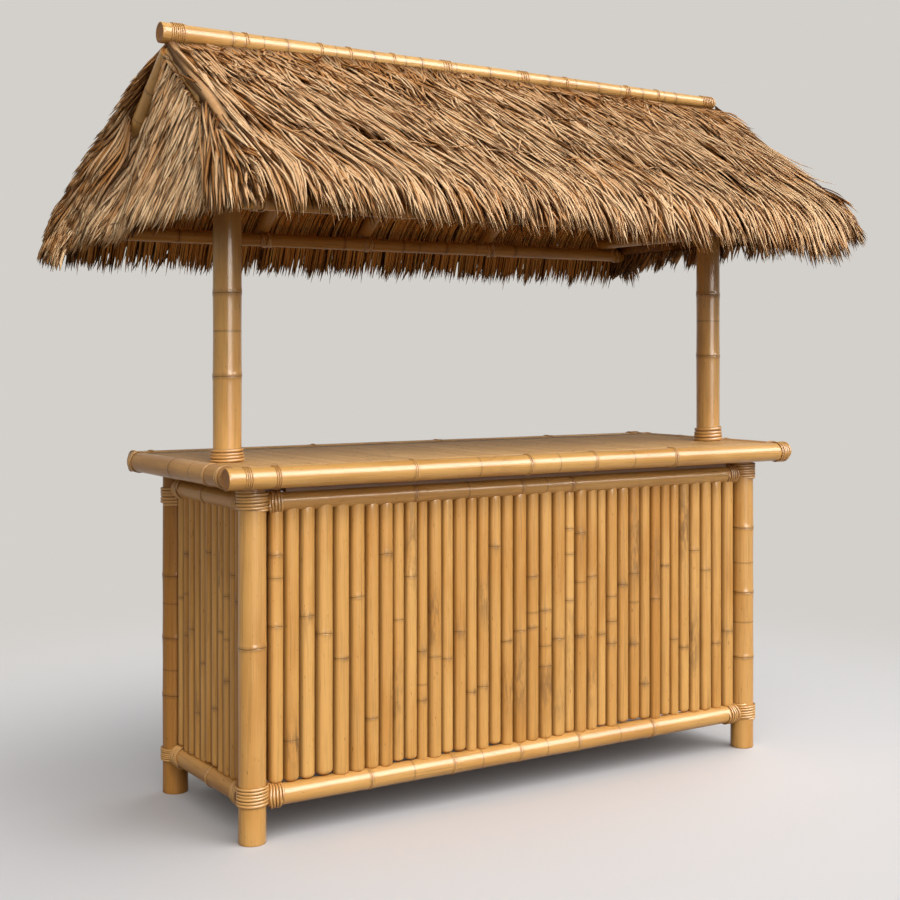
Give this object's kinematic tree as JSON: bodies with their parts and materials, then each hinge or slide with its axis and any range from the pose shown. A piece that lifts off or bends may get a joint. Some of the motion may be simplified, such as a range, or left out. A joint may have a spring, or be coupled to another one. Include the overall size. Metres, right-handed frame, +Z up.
{
  "type": "tiki bar hut",
  "caption": "Bamboo bar with a slatted counter, cane-clad front and sides, open back with shelves, and a thatched gable roof on two posts.",
  "frame": {"origin": "floor point midway between the four corner posts", "axes": "+X along the bar to the right as a guest sees it, +Y from the guest's side to the open serving side, +Z up"},
  "size_m": [2.386, 1.4498, 2.376],
  "materials": {
    "bamboo_pole": "honey-coloured bamboo poles, varnished, with darker growth nodes",
    "roof_pole": "darker bamboo poles under the roof, thinly varnished",
    "cane": "upright bamboo canes, satin varnish, mottled",
    "deck_slat": "split bamboo slats, gloss varnish",
    "shelf_board": "stained plywood and battens",
    "rattan": "split rattan lashings, satin",
    "thatch": "dry palm-leaf thatch, straw to tan"
  },
  "bodies": {
    "root": {"bottom_rail_front": "bamboo_pole", "bottom_rail_left": "bamboo_pole", "bottom_rail_rear": "bamboo_pole", "bottom_rail_right": "bamboo_pole", "cane_wall_front": "cane", "cane_wall_left": "cane", "cane_wall_right": "cane", "corner_post_front_left": "bamboo_pole", "corner_post_front_right": "bamboo_pole", "corner_post_rear_left": "bamboo_pole", "corner_post_rear_right": "bamboo_pole", "counter_pole_front": "bamboo_pole", "counter_pole_left": "bamboo_pole", "counter_pole_rear": "bamboo_pole", "counter_pole_right": "bamboo_pole", "deck": "deck_slat", "deck_bearer_front": "shelf_board", "deck_bearer_rear": "shelf_board", "lashing_bottom_front_left": "rattan", "lashing_bottom_front_right": "rattan", "lashing_bottom_rear_left": "rattan", "lashing_bottom_rear_right": "rattan", "lashing_top_front_left": "rattan", "lashing_top_front_right": "rattan", "lashing_top_rear_left": "rattan", "lashing_top_rear_right": "rattan", "lower_shelf": "shelf_board", "middle_shelf": "shelf_board", "post_collar_left": "rattan", "post_collar_right": "rattan", "purlin_front": "roof_pole", "purlin_rear": "roof_pole", "rafter_front_1": "roof_pole", "rafter_front_2": "roof_pole", "rafter_front_3": "roof_pole", "rafter_front_4": "roof_pole", "rafter_front_5": "roof_pole", "rafter_rear_1": "roof_pole", "rafter_rear_2": "roof_pole", "rafter_rear_3": "roof_pole", "rafter_rear_4": "roof_pole", "rafter_rear_5": "roof_pole", "ridge_pole": "bamboo_pole", "roof_post_left": "bamboo_pole", "roof_post_right": "bamboo_pole", "thatch_front_1": "thatch", "thatch_front_2": "thatch", "thatch_front_3": "thatch", "thatch_gable_left": "thatch", "thatch_gable_right": "thatch", "thatch_rear_1": "thatch", "thatch_rear_2": "thatch", "thatch_rear_3": "thatch", "tie_beam_left": "roof_pole", "tie_beam_right": "roof_pole", "top_rail_front": "bamboo_pole", "top_rail_left": "bamboo_pole", "top_rail_rear": "bamboo_pole", "top_rail_right": "bamboo_pole"}
  },
  "joints": []
}
